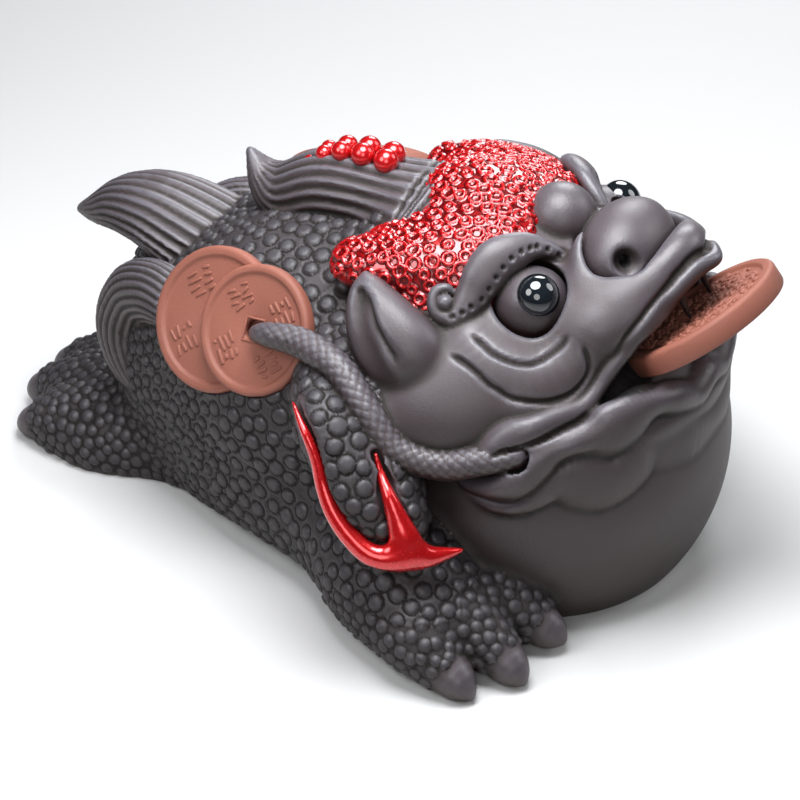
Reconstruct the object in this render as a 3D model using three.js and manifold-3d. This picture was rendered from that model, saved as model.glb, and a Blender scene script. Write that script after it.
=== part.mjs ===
// A money toad: the three-legged toad of East Asia, sculpted in clay, with coins at its flanks
// and one in its mouth.
// Millimetres, +Z up. The toad faces +X and is the same on both sides of the plane y = 0.
// The origin is on the table, in the middle of the flat underside.
import * as THREE from "three";
import { mergeVertices } from "three/addons/utils/BufferGeometryUtils.js";
import Module from "manifold-3d";

const wasm = await Module();
wasm.setup();

// Driving dimensions.
const figureLength = 155; // hind claws to the front of the mouth coin
const eyeBeadDiameter = 8.4;
const mouthCoinDiameter = 33;
const mouthCoinThickness = 4.6;
const mouthCoinPitch = 38; // degrees that its front edge is tipped up
const largeCoinDiameter = 28.4;
const smallCoinDiameter = 25.2;
const flankCoinThickness = 3;
const coinRimWidth = 2.2;
const coinRimHeight = 0.6;
const ropeDiameter = 5.6;
const ropeEndDiameter = 3.4;
const fitGap = 0.3; // between a coin or a bead and the clay it is set in

// The clay figure keeps its pose and proportions: every place and size in it is drawn at this
// length and grows with it.
const drawnLength = 155;
const grow = figureLength / drawnLength;

const colours = {
  clay: { color: 0x57504f, roughness: 0.75, metalness: 0 },
  redClay: { color: 0xa4624c, roughness: 0.7, metalness: 0 },
  bead: { color: 0x0b0d10, roughness: 0.08, metalness: 0 },
};

const degrees = THREE.MathUtils.degToRad;
const place = (x, y, z) => new THREE.Vector3(x, y, z).multiplyScalar(grow);

// A closed three.js geometry as a solid that can be joined and cut.
function solid(geometry) {
  const bare = geometry.clone();
  bare.deleteAttribute("normal");
  bare.deleteAttribute("uv");
  const merged = mergeVertices(bare, 1e-4);
  return new wasm.Manifold(
    new wasm.Mesh({
      numProp: 3,
      vertProperties: merged.attributes.position.array,
      triVerts: new Uint32Array(merged.index.array),
    }),
  );
}

function geometryOf(made) {
  const mesh = made.getMesh();
  const geometry = new THREE.BufferGeometry();
  geometry.setAttribute("position", new THREE.BufferAttribute(mesh.vertProperties, 3));
  geometry.setIndex(new THREE.BufferAttribute(mesh.triVerts, 1));
  return geometry;
}

// The same geometry on the other side of the plane y = 0.
function mirrored(geometry) {
  const other = geometry.clone().scale(1, -1, 1);
  const index = other.index.array;
  for (let i = 0; i < index.length; i += 3) {
    const second = index[i + 1];
    index[i + 1] = index[i + 2];
    index[i + 2] = second;
  }
  return other;
}

// A ball stretched to three half sizes, tipped nose-up by pitch, then turned by yaw, in degrees.
function blob([x, y, z], [rx, ry, rz], { pitch = 0, yaw = 0, around = 16, rows = 10 } = {}) {
  const geometry = new THREE.SphereGeometry(1, around, rows).rotateX(Math.PI / 2);
  geometry.scale(rx * grow, ry * grow, rz * grow);
  geometry.applyQuaternion(new THREE.Quaternion().setFromEuler(
    new THREE.Euler(0, -degrees(pitch), degrees(yaw), "ZYX"),
  ));
  const middle = place(x, y, z);
  return geometry.translate(middle.x, middle.y, middle.z);
}

// A rounded limb along a smooth curve. Each station is [x, y, z, half width, half height], the height being
// measured across the width and the curve. The section may be fluted.
function limb(stations, { sides = 10, steps = 8, flutes = 0, depth = 0, up = [0, 0, 1], tip = 0.6 } = {}) {
  const route = stations.map(([x, y, z]) => place(x, y, z));
  const curve = new THREE.CatmullRomCurve3(route, false, "centripetal");
  const sizeAt = (t) => {
    const along = t * (stations.length - 1);
    const first = Math.min(Math.floor(along), stations.length - 2);
    const blend = along - first;
    const size = (i, k) => (stations[i][k] ?? stations[i][3]) * grow;
    return [3, 4].map((k) => size(first, k) * (1 - blend) + size(first + 1, k) * blend);
  };
  const points = [];
  const upward = new THREE.Vector3(...up);
  const ends = [];
  for (let s = 0; s <= steps; s += 1) {
    const t = s / steps;
    const middle = curve.getPoint(t);
    const along = curve.getTangent(t);
    const side = new THREE.Vector3().crossVectors(upward, along).normalize();
    const over = new THREE.Vector3().crossVectors(along, side);
    const [width, height] = sizeAt(t);
    for (let k = 0; k < sides; k += 1) {
      const angle = (2 * Math.PI * k) / sides;
      const ripple = 1 - depth * (0.5 - 0.5 * Math.cos(flutes * angle));
      points.push(middle.clone()
        .addScaledVector(side, width * ripple * Math.cos(angle))
        .addScaledVector(over, height * ripple * Math.sin(angle)));
    }
    if (s === 0) ends.push(middle.clone().addScaledVector(along, -tip * Math.min(width, height)));
    if (s === steps) ends.push(middle.clone().addScaledVector(along, tip * Math.min(width, height)));
  }
  const last = points.length;
  const index = [];
  for (let k = 0; k < sides; k += 1) {
    const next = (k + 1) % sides;
    index.push(last, next, k);
    for (let s = 0; s < steps; s += 1) {
      const near = s * sides;
      const far = near + sides;
      index.push(near + k, near + next, far + k, far + k, near + next, far + next);
    }
    index.push(last + 1, steps * sides + k, steps * sides + next);
  }
  const geometry = new THREE.BufferGeometry().setFromPoints([...points, ...ends]);
  return geometry.setIndex(index);
}

const pair = (geometry) => [geometry, mirrored(geometry)];

// The trunk, with its flat-bottomed chest and the rump that the hind leg grows from.
const trunk = () => [
  blob([-10, 0, 30], [41, 40, 35], { around: 13, rows: 7 }),
  blob([-39, 0, 24], [27, 27, 28], { around: 10, rows: 6 }),
  blob([-53, 0, 35], [11, 15, 15], { around: 8, rows: 5 }),
  blob([29, 0, 22], [32.5, 38.5, 36], { around: 14, rows: 7 }),
  ...pair(blob([-26, -12, 40], [20, 17.5, 19], { around: 8, rows: 6 })),
];

// A claw: a blunt cone whose tip comes down to the table.
function claw(root, point, radius) {
  const bend = root.map((value, axis) => value * 0.45 + point[axis] * 0.55);
  const stations = [[...root, radius], [...bend, radius * 0.85], [...point, radius * 0.3]];
  return limb(stations, { sides: 6, steps: 2 });
}

const knuckleRadius = 6.5;
const toeRadius = 4.8;
function toe(heel, knuckle, root) {
  return limb([heel, [...knuckle, knuckleRadius], [...root, toeRadius]], { sides: 6, steps: 2 });
}

const frontHeel = [18, -44, 10, 6.5];
const frontClawRadius = 4.4;
const frontToes = [
  { knuckle: [23, -53, 8], root: [29.5, -56, 5.2], point: [36.5, -58, 1.8] },
  { knuckle: [30, -46, 8.5], root: [37, -48, 5.5], point: [43.5, -50, 2] },
  { knuckle: [32, -38, 8.5], root: [39, -36.5, 6], point: [45.5, -36.5, 3] },
];

// The forearm lies along the flank down to the foot. The upper arm is a lobe over it, in a
// flame-shaped band.
const forearm = [
  [-48, -9, 6, 11], [-24, -19.5, 13, 14.5], [0, -30, 13, 14], [14, -42, 11, 13.5],
  [25, -48.5, 8, 12, 8],
];
const upperArm = [
  [-10, -34, 48, 10.5], [1, -40, 43.5, 11], [10, -45, 35.5, 9.5], [16.5, -48.5, 28.5, 6.5],
];
const armBand = [
  [-9, -43, 50, 1, 1], [-1, -49, 44, 1.6], [5.5, -53, 36, 1.7], [12, -55.5, 27.5, 2.3],
  [19, -53, 22, 2.8], [28, -46, 24, 1],
];
const innerBand = [[11, -50, 45, 0.8], [17.5, -53.5, 35, 1.4], [21, -54, 26.5, 2.6]];

function frontLeg() {
  const pieces = [
    limb(forearm, { sides: 8, steps: 5 }),
    limb(upperArm, { sides: 7, steps: 4 }),
    limb(armBand, { sides: 4, steps: 6 }),
    limb(innerBand, { sides: 4, steps: 2 }),
  ];
  for (const { knuckle, root, point } of frontToes) {
    pieces.push(toe(frontHeel, knuckle, root), claw(root, point, frontClawRadius));
  }
  return pieces.flatMap(pair);
}

const hindHeel = [-60, 8, 7, 7];
const hindClawRadius = 4.2;
const hindToes = [
  { knuckle: [-73, 15.5, 6], root: [-78.5, 16.5, 5], point: [-85, 17, 2.2] },
  { knuckle: [-76, 5.5, 6.5], root: [-83, 5.5, 5.5], point: [-89.5, 5.5, 2.8] },
];
const hindFoot = [[-44, 0, 6, 19, 18], [-54, 0, 4, 21, 17], [-66, 0, 3, 24, 14], [-74, 0, 3, 22, 11]];

function hindLeg() {
  const pieces = [];
  for (const { knuckle, root, point } of hindToes) {
    pieces.push(toe(hindHeel, knuckle, root), claw(root, point, hindClawRadius));
  }
  return [limb(hindFoot, { sides: 10, steps: 3 }), ...pieces.flatMap(pair)];
}

// The flame-shaped locks: the tail, its two side locks and the crest along the back.
const tailLock = [
  [-30, 0, 42, 9, 7], [-40, 0, 44.5, 12, 7.5], [-50, 0, 48.5, 13, 7.5], [-60, 0, 51.5, 11, 6.5],
  [-67, 0, 51, 8, 5.5], [-73, 0, 48.5, 4.5, 3.5], [-78, 0, 46.8, 1.2, 1.2],
];
const sideLock = [
  [-44, -22, 45, 6, 5], [-52, -18.5, 44, 6, 7], [-58, -15.5, 40, 6, 7], [-61.5, -15, 32, 5, 6.5],
  [-57.5, -18, 25, 3.5, 5], [-52, -21, 20, 1, 1],
];
const crestLock = [
  [8, 0, 67, 10, 8], [-6, 0, 66.8, 9, 8], [-20, 0, 65.5, 8, 8.7], [-30, 0, 62, 6.5, 6.6],
  [-35, 0, 64.5, 4.5, 3.6], [-38.5, 0, 69.5, 1, 1],
];

const locks = () => [
  limb(tailLock, { sides: 14, steps: 6, flutes: 7, depth: 0.12 }),
  ...pair(limb(sideLock, { sides: 8, steps: 5, flutes: 4, depth: 0.12 })),
  limb(crestLock, { sides: 12, steps: 6, flutes: 6, depth: 0.1 }),
];

const crestBeads = 6;
const crestBeadStart = -27.4;
const smallestBeadRadius = 1.3;
const largestBeadRadius = 2.6;
const beadBreadth = 1.6; // times its radius
const beadGap = 0.1;
const beadRowHeight = 68;
const beadRowRise = 6.5;
const beadRowArch = 112; // degrees of the sine wave that the row follows

// A row of broad beads along the crest, growing towards the head, each touching the next.
function beads() {
  const pieces = [];
  let x = crestBeadStart;
  for (let i = 0; i < crestBeads; i += 1) {
    const t = i / (crestBeads - 1);
    const radius = THREE.MathUtils.lerp(smallestBeadRadius, largestBeadRadius, t);
    const z = beadRowHeight + beadRowRise * Math.sin(degrees(beadRowArch) * t);
    pieces.push(blob([x, 0, z], [radius, beadBreadth * radius, radius], { around: 6, rows: 4 }));
    x += 2 * radius + beadGap;
  }
  return pieces;
}

// The knobbly cap on the head: a crown between the brows, and a lobe that runs back over each ear.
const capLobe = [
  [19, -8.5, 69, 7.5, 5], [12, -15.5, 67.2, 8.5, 5.5], [3, -19.5, 65.5, 7.5, 5.5],
  [-5, -21, 64, 5.5, 4.5],
];
const eyeballMiddle = [28.7, -18.4, 62.2];
const eyeballRadius = 8;
const collar = [[5, 0.5, 74, 2.5], [3, -8, 71, 2.5], [-1, -15, 65.5, 2.5], [-6, -22, 60, 2]];

const brow = [
  [33, -8, 66.3, 1.6], [29.6, -10.8, 70.2, 2.2], [25.5, -14.5, 71.8, 3], [21.5, -20, 69, 3.6, 4],
  [18.5, -24, 64.6, 3.6, 4],
  [15.5, -26.5, 62, 3, 3.4], [13.8, -26.3, 64.2, 2],
];
const eyeBag = [
  [23, -28.5, 59, 1.5], [28, -31, 54.5, 2.4], [34, -29.5, 51.5, 2.8], [39.5, -25, 53, 2.6],
  [42, -20, 57, 1.5],
];
const ear = [
  [16, -31, 51.5, 6, 6], [11, -32.5, 54.2, 8.5, 7], [6, -31.8, 58.5, 7.5, 6],
  [2.2, -29.5, 63, 4, 4], [0.4, -27.5, 66, 1, 1],
];
const earHollow = [
  [9, -39.5, 51, 3, 3], [6.5, -39, 55.5, 4.5, 4.5], [3.4, -35.5, 60.5, 2.6, 3],
  [1.4, -31.5, 64.3, 0.5, 0.6],
];
const upperLip = [
  [57, 0.5, 68.8, 2], [55, -4.6, 68.3, 2.3], [52, -10, 64.5, 2.4], [49.2, -15.5, 58.8, 2.4],
  [46.3, -20.5, 51.6, 2.4], [43, -26, 47.8, 2.4],
  [38, -33, 47.5, 2.6], [32.5, -37, 46.5, 2.8], [29.5, -38, 43, 2.6], [30.5, -38, 39.5, 2],
];
const lowerLip = [
  [57, 0.5, 49.5, 3.2], [56.5, -8, 49.3, 3.3], [53.8, -16, 48.2, 3.5], [50, -23, 46, 3.5],
  [44, -29.5, 43, 3.5], [38, -34.5, 38.5, 4],
];

// The wavy fold under the lower lip.
const jawFold = [
  [57.5, 0.5, 40, 3.3], [56.7, -9, 38.5, 3.4], [54, -17, 39.5, 3.5], [51, -23.5, 37, 3.5],
  [47, -28.5, 35.5, 3.5], [42.5, -32, 35, 3.5],
  [38, -35, 31.5, 3.5], [32, -38, 29, 3], [24, -39.5, 29.5, 2.5],
];

// Half of the head: everything that is there on both sides.
const headSide = () => [
  blob([19, -21, 45.5], [23, 17.5, 17], { around: 9, rows: 6 }),
  blob(eyeballMiddle, [eyeballRadius, eyeballRadius, eyeballRadius], { around: 7, rows: 5 }),
  blob([45.5, -10, 60], [8.5, 9, 9], { around: 7, rows: 5 }),
  limb(capLobe, { sides: 6, steps: 3 }),
  limb(collar, { sides: 4, steps: 3 }),
  limb(brow, { sides: 5, steps: 7 }),
  limb(eyeBag, { sides: 4, steps: 4 }),
  limb(ear, { sides: 7, steps: 4, up: [0, 1, 0] }),
  limb(upperLip, { sides: 4, steps: 8 }),
  limb(lowerLip, { sides: 4, steps: 5 }),
  limb(jawFold, { sides: 4, steps: 7 }),
  rope(),
];

const head = () => [
  blob([37, 0, 41.5], [23.5, 34, 10], { around: 9, rows: 5 }),
  blob([14, 0, 51], [30, 29, 24], { around: 10, rows: 6 }),
  blob([37.5, 0, 58.5], [19, 23, 12], { pitch: 20, around: 10, rows: 6 }),
  blob([24.6, 0, 68.6], [7.3, 7.3, 7.3], { around: 7, rows: 5 }),
  blob([43.5, 0, 69], [9.2, 12.5, 8], { pitch: 15, around: 9, rows: 6 }),
  blob([12, 0, 68.7], [14, 11, 9.3], { around: 9, rows: 6 }),
  ...headSide().flatMap(pair),
];

const fang = () => limb([[54, -5, 64, 1.1], [56.3, -5, 59.5, 0.5]], { sides: 6, steps: 1 });

const ropeRoute = [
  [-19.4, -29.5, 49.9], [-21.3, -35.2, 52.9], [-15.6, -38.2, 53.3], [-7, -41, 53.4],
  [2, -42.3, 50.9], [9.5, -44, 46], [16, -44.2, 40],
  [23.5, -42.4, 37.8], [31, -40.5, 39], [35.5, -37, 42],
];

// The rope is carved from the same clay: it runs from the corner of the mouth into the hole of the
// small coin.
function rope() {
  const thickness = (i) => (i < 2 ? ropeEndDiameter : ropeDiameter) / 2 / grow;
  return limb(ropeRoute.map((point, i) => [...point, thickness(i)]), { sides: 5, steps: 9 });
}

// A coin lies in its own frame with its picture side up: a flat field inside a raised rim, round a hole
// if it has one. The swell makes the larger shape that its recess is cut with.
const coinSides = 16;
function coin(diameter, thickness, { swell = 0, holeDiameter = 0 } = {}) {
  const radius = diameter / 2 + swell;
  const half = thickness / 2 + swell;
  const field = diameter / 2 - coinRimWidth;
  const inner = Math.max(holeDiameter / 2 - swell, 0);
  const outline = [[inner, -half], [radius, -half], [radius, half]];
  if (swell === 0) {
    const floor = half - coinRimHeight;
    outline.push([field + coinRimHeight / 2, half], [field, floor], [inner, floor]);
  } else {
    outline.push([inner, half]);
  }
  const profile = outline.map(([r, z]) => new THREE.Vector2(r, z));
  if (inner > 0) profile.push(profile[0].clone());
  return new THREE.LatheGeometry(profile, coinSides).rotateX(Math.PI / 2);
}

// Turns a coin from lying flat to its seat, its picture side along the normal.
function seated(geometry, at, normal, lift) {
  const outward = new THREE.Vector3(...normal).normalize();
  geometry.applyQuaternion(new THREE.Quaternion().setFromUnitVectors(new THREE.Vector3(0, 0, 1), outward));
  return geometry.translate(...place(...at).addScaledVector(outward, lift).toArray());
}

const largeCoinSeat = [-31.1, -28, 48.3];
const smallCoinSeat = [-20.4, -29.5, 49.5];
const flankNormal = [-0.18, -0.86, 0.475];
const smallCoinLift = 0.75 * flankCoinThickness;
const ropeHole = ropeEndDiameter + 4 * fitGap;

// The large coin lies on the flank, and the small one half over it.
const largeCoin = (options) => seated(
  coin(largeCoinDiameter, flankCoinThickness, options), largeCoinSeat, flankNormal, 0,
);
const smallCoin = (options) => seated(
  coin(smallCoinDiameter, flankCoinThickness, { holeDiameter: ropeHole, ...options }),
  smallCoinSeat, flankNormal, smallCoinLift,
);

const mouthCoinMiddle = [57, 0, 57];
const mouthCoin = (options) => coin(mouthCoinDiameter, mouthCoinThickness, options)
  .rotateY(-degrees(mouthCoinPitch)).translate(...place(...mouthCoinMiddle).toArray());

const mouthHalf = [
  [53, 0, 58, 8, 8], [52, -9, 56.5, 7, 7.5], [49.5, -17, 53, 4, 5], [46.5, -23, 48.5, 1.5, 1.5],
];
const mouthHollow = () => {
  const farHalf = mouthHalf.slice(1).reverse().map(([x, y, z, width, height]) => [x, -y, z, width, height]);
  return limb([...farHalf, ...mouthHalf], { sides: 6, steps: 6, up: [1, 0, 0] });
};

const nostrilMiddle = [48, -8.2, 71.3];
const nostril = () => blob(nostrilMiddle, [3.4, 2, 2.2], { pitch: 20, yaw: -25, around: 6, rows: 5 });

// The eye bead is a little flatter along its axis, which looks forward and up. It is set into the
// eyeball and stands a little proud of it.
const eyeAxis = [0.63, -0.25, 0.735];
const eyeBeadFlatness = 0.8;
const eyeBeadProud = 0.3;
function eyeBead({ swell = 0 } = {}) {
  const radius = eyeBeadDiameter / 2;
  const ball = new THREE.SphereGeometry(radius + swell, 7, 5).rotateX(Math.PI / 2);
  ball.scale(1, 1, eyeBeadFlatness);
  const lift = eyeballRadius * grow + eyeBeadProud - radius * eyeBeadFlatness;
  return seated(ball, eyeballMiddle, eyeAxis, lift);
}

const table = () => new THREE.BoxGeometry(4 * figureLength, 4 * figureLength, figureLength)
  .translate(0, 0, -figureLength / 2);

const join = (pieces) => pieces.map(solid).reduce((sum, piece) => sum.add(piece));
const cut = (made, cutters) => cutters.map(solid).reduce((rest, cutter) => rest.subtract(cutter), made);

function toadBody() {
  const figure = join([...trunk(), ...frontLeg(), ...hindLeg(), ...locks(), ...beads(), ...head()]);
  const ears = pair(limb(earHollow, { sides: 6, steps: 3, up: [0, 1, 0] }));
  const hollows = [mouthHollow(), ...pair(nostril()), ...ears];
  const opened = cut(figure, [...hollows, table()]).add(join(pair(fang())));
  const seats = [largeCoin, smallCoin, eyeBead].flatMap((made) => pair(made({ swell: fitGap })));
  return cut(opened, [mouthCoin({ swell: fitGap }), ...seats]);
}

// The large coin is cut away where the small one lies over it.
const largeCoinSolid = () => cut(solid(largeCoin()), [smallCoin({ swell: fitGap, holeDiameter: 0 })]);

const group = new THREE.Group();

function add(name, geometry, colour) {
  const mesh = new THREE.Mesh(geometry, new THREE.MeshStandardMaterial(colour));
  mesh.name = name;
  group.add(mesh);
}

const sides = { right: (geometry) => geometry, left: mirrored };

add("toad_body", geometryOf(toadBody()), colours.clay);
add("mouth_coin", mouthCoin(), colours.redClay);
for (const [side, turned] of Object.entries(sides)) {
  add(`${side}_eye_bead`, turned(eyeBead()), colours.bead);
  add(`${side}_large_coin`, turned(geometryOf(largeCoinSolid())), colours.redClay);
  add(`${side}_small_coin`, turned(smallCoin()), colours.redClay);
}

export default group;
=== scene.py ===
"""A money toad: the three-legged toad of East Asia in dark clay, with a glazed crown and red clay coins."""

import math

import bmesh
import bpy
import numpy as np
import openvdb
from mathutils import Euler, Matrix, Vector, kdtree


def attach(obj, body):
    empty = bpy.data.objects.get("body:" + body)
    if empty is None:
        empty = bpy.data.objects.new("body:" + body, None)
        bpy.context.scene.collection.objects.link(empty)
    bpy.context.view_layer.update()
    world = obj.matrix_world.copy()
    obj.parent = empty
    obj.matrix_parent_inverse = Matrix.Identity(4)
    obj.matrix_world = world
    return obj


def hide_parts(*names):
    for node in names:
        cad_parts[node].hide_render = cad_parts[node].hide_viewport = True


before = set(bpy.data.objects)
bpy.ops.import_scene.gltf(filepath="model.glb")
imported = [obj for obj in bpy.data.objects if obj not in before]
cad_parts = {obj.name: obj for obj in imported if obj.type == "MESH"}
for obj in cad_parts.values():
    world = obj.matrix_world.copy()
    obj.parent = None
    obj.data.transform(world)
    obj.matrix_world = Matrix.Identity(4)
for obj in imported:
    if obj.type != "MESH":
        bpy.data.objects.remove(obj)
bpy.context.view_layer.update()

# Sculpted in millimetres, in the frame's own axes, and turned into metres as each mesh is made.
MM = 0.001
BODY_PITCH, CROWN_PITCH, BAND_PITCH = ((0.43, 0.29, 0.4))
FAR = 9.0  # no distance further from the surface than this is kept
SEED = 11

# The kinds of surface; the last one marks carved holes whose inside is painted near black as shade.
SMOOTH, DISCS, WARTS, ROPE, LOCK, PAINTED_SHADE = range(6)
PLAIN_RELIEF = 0.6


def smooth_min(a, b, soft):
    """The nearer of two distances, with a fillet of about soft where they meet."""
    meet = np.maximum(soft - np.abs(a - b), 0) / soft
    return np.minimum(a, b) - meet * meet * (soft * 0.25)


def route(stations, per):
    """Stations [x, y, z, half width, half height] on a smooth curve through those given, per to a span."""
    given = np.array([[*s, s[3]] if len(s) == 4 else s for s in stations], float)
    given = np.vstack([2 * given[0] - given[1], given, 2 * given[-1] - given[-2]])
    out = []
    for p in zip(given, given[1:], given[2:], given[3:]):
        knots = np.cumsum([0.0] + [np.linalg.norm(b[:3] - a[:3]) ** 0.5 for a, b in zip(p, p[1:])])
        for t in np.linspace(knots[1], knots[2], per, endpoint=False):
            out.append(_between(p, knots, t))
    out.append(given[-2])
    out = np.array(out)
    out[:, 3:] = np.maximum(out[:, 3:], 0.25)
    return out


def _between(p, k, t):
    """Place t on the span between the middle two of four stations."""
    def mix(a, b, i, j):
        return a * ((k[j] - t) / (k[j] - k[i])) + b * ((t - k[i]) / (k[j] - k[i]))
    first, middle, last = mix(p[0], p[1], 0, 1), mix(p[1], p[2], 1, 2), mix(p[2], p[3], 2, 3)
    return mix(mix(first, middle, 0, 2), mix(middle, last, 1, 3), 1, 2)


def dot(place, axis):
    """How far a place, or each place of a grid, lies along an axis."""
    return place[0] * axis[0] + place[1] * axis[1] + place[2] * axis[2]


def on_side(station, side):
    """A place or station of the near side as it is there, for side -1, or on the far side, for side 1."""
    return [station[0], -side * station[1], *station[2:]]


def both_sides(stations):
    """Stations from the middle plane outwards, with the same ones mirrored before them."""
    return [on_side(s, 1) for s in stations[:0:-1]] + stations


def span(axes, low, high):
    """The part of a grid between two corners, as slices."""
    return tuple(slice(*np.searchsorted(a, ends)) for a, *ends in zip(axes, low, high))


class Ball:
    """A ball stretched to three half sizes, and tipped nose-up by pitch, in degrees."""

    def __init__(self, middle, radii, pitch=0):
        self.middle = np.array(middle, float)
        self.radii = np.array(radii, float)
        self.turn = np.array(Euler((0, -math.radians(pitch), 0), "XYZ").to_matrix())
        reach = np.sqrt(((self.turn * self.radii) ** 2).sum(1))
        self.low, self.high = self.middle - reach, self.middle + reach

    def fill(self, out, x, y, z, margin):
        place = [v - m for v, m in zip((x, y, z), self.middle)]
        near = np.float32(0)
        pull = np.float32(0)
        for axis, radius in zip(self.turn.T, self.radii):
            along = dot(place, axis) / radius
            near = near + along * along
            pull = pull + (along / radius) ** 2
        near = np.sqrt(near)
        out[...] = near * (near - 1) / np.sqrt(pull + 1e-6)


class Limb:
    """A rounded limb through stations [x, y, z, half width, half height], with flutes along it if asked."""

    def __init__(self, stations, up=(0, 0, 1), per=4, flutes=0, depth=0.0):
        self.s = route(stations, per)
        self.flutes, self.depth = flutes, depth
        along = np.gradient(self.s[:, :3], axis=0)
        self.along = along / np.linalg.norm(along, axis=1)[:, None]
        side = np.cross(np.array(up, float), self.along)
        self.side = side / np.linalg.norm(side, axis=1)[:, None]
        self.over = np.cross(self.along, self.side)
        reach = self.s[:, 3:].max(1)[:, None]
        self.low = (self.s[:, :3] - reach).min(0)
        self.high = (self.s[:, :3] + reach).max(0)

    def fill(self, out, x, y, z, margin):
        axes = [a.ravel() for a in (x, y, z)]
        for i, (a, b) in enumerate(zip(self.s, self.s[1:])):
            reach = max(a[3:].max(), b[3:].max()) + margin
            low, high = np.minimum(a[:3], b[:3]) - reach, np.maximum(a[:3], b[:3]) + reach
            cut = span(axes, low, high)
            part = out[cut]
            if part.size:
                here = (x[cut[0]], y[:, cut[1]], z[:, :, cut[2]])
                np.minimum(part, self.one(i, here), out=part)

    def one(self, i, here):
        """Distances to the span that starts at station i."""
        a, b = self.s[i], self.s[i + 1]
        step = b[:3] - a[:3]
        q = [v - m for v, m in zip(here, a[:3])]
        raw = dot(q, step) / (step @ step)
        h = np.clip(raw, 0, 1)
        beyond = (raw - h) * np.linalg.norm(step)
        q = [v - h * s for v, s in zip(q, step)]
        u0, u1 = dot(q, self.side[i]), dot(q, self.side[i + 1])
        v0, v1 = dot(q, self.over[i]), dot(q, self.over[i + 1])
        wide = a[3] + h * (b[3] - a[3])
        tall = a[4] + h * (b[4] - a[4])
        u = (u0 + h * (u1 - u0)) / wide
        v = (v0 + h * (v1 - v0)) / tall
        small = np.minimum(wide, tall)
        e = beyond / small
        near = np.sqrt(u * u + v * v + e * e)
        pull = np.sqrt((u / wide) ** 2 + (v / tall) ** 2 + (e / small) ** 2 + 1e-8)
        if self.flutes:
            groove = 0.5 - 0.5 * np.cos(self.flutes * np.arctan2(v, u))
            near = near / (1 - self.depth * groove)
        return near * (near - 1) / pull


class Clay:
    """A block of clay on a grid: how far each place is from the surface, below zero inside, and its kind."""

    def __init__(self, low, high, pitch, half=False):
        self.pitch = pitch
        self.half = half
        self.axes = [np.arange(a, b + pitch, pitch, dtype=np.float32) for a, b in zip(low, high)]
        if half:  # the last plane is half a pitch off the middle, so that the halves join evenly
            planes = pitch * np.arange(int(-low[1] / pitch), dtype=np.float32)
            self.axes[1] = (-pitch / 2 - planes)[::-1].copy()
        self.field = np.full([len(a) for a in self.axes], FAR, np.float32)
        self.kind = np.zeros(self.field.shape, np.uint8)

    def spread(self, form, margin):
        cut = span(self.axes, form.low - margin, form.high + margin)
        x, y, z = (a[c] for a, c in zip(self.axes, cut))
        out = np.full((len(x), len(y), len(z)), FAR, np.float32)
        if out.size:
            form.fill(out, x[:, None, None], y[None, :, None], z[None, None, :], margin)
        return cut, out

    def add(self, form, soft=1.0, kind=SMOOTH):
        cut, made = self.spread(form, soft + 0.6)
        part = self.field[cut]
        self.kind[cut][made < part] = kind
        self.field[cut] = smooth_min(part, made, soft)

    def carve(self, form, soft=0.4, kind=None):
        cut, made = self.spread(form, soft + 0.6)
        part = self.field[cut]
        if kind is not None:
            self.kind[cut][-made > part] = kind
        self.field[cut] = -smooth_min(-part, made, soft)

    def stand_on_table(self):
        self.field = np.maximum(self.field, -self.axes[2][None, None, :])

    def surface(self):
        """Places, quads and the kind of each place, of the whole surface."""
        field, kind = self.field, self.kind
        if self.half:
            field = np.concatenate([field, field[:, ::-1]], 1)
            kind = np.concatenate([kind, kind[:, ::-1]], 1)
        grid = openvdb.FloatGrid(FAR)
        grid.copyFromArray(field)
        places, quads = grid.convertToQuads(0.0)
        nearest = np.clip(np.rint(places).astype(int), 0, np.array(kind.shape) - 1)
        kinds = kind[tuple(nearest.T)]
        low = np.array([a[0] for a in self.axes])
        return places * self.pitch + low, quads, kinds


HEAD_BALL = ((14, 0, 51), (30, 29, 24))

# Belly, rump, root of the tail, flank and chest: middle, half sizes, fillet and kind.
TRUNK = [
    ((-10, 0, 30), (41, 40, 35), 1, DISCS),
    ((-39, 0, 24), (27, 27, 28), 10, DISCS),
    ((-53, 0, 35), (11, 15, 15), 6, DISCS),
    ((-26, -12, 40), (20, 17.5, 19), 8, DISCS),
    ((29, 0, 22), (32.5, 38.5, 36), 6, SMOOTH),
]


def add_trunk(clay):
    for middle, radii, soft, kind in TRUNK:
        clay.add(Ball(middle, radii), soft, kind)


FRONT_HEEL = [18, -44, 10, 6.5]
FRONT_TOES = [
    ([23, -53, 8], [29.5, -56, 5.2], [36.5, -58, 1.8]),
    ([30, -46, 8.5], [37, -48, 5.5], [43.5, -50, 2]),
    ([32, -38, 8.5], [39, -36.5, 6], [45.5, -36.5, 3]),
]
FOREARM = [
    [-48, -9, 6, 11], [-24, -19.5, 13, 14.5], [0, -30, 13, 14], [14, -42, 11, 13.5], [25, -48.5, 8, 12, 8],
]
UPPER_ARM = [[-1, -36, 44, 9], [3, -39.6, 41, 9.3], [9.5, -44, 35, 8.6], [15.5, -47.6, 28.5, 6.8]]
SHOULDER = ((0, -30, 46), (10.5, 8, 9))
ARM_LOBE = [
    [-2.5, -42.5, 48.2, 3, 3], [0.7, -46, 45.2, 5.4, 5.2], [6.2, -48.5, 39.5, 6, 5.4],
    [11, -50.4, 33.2, 5.8, 5.4], [14.3, -50.4, 28.6, 4.5, 4.8],
]
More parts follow.
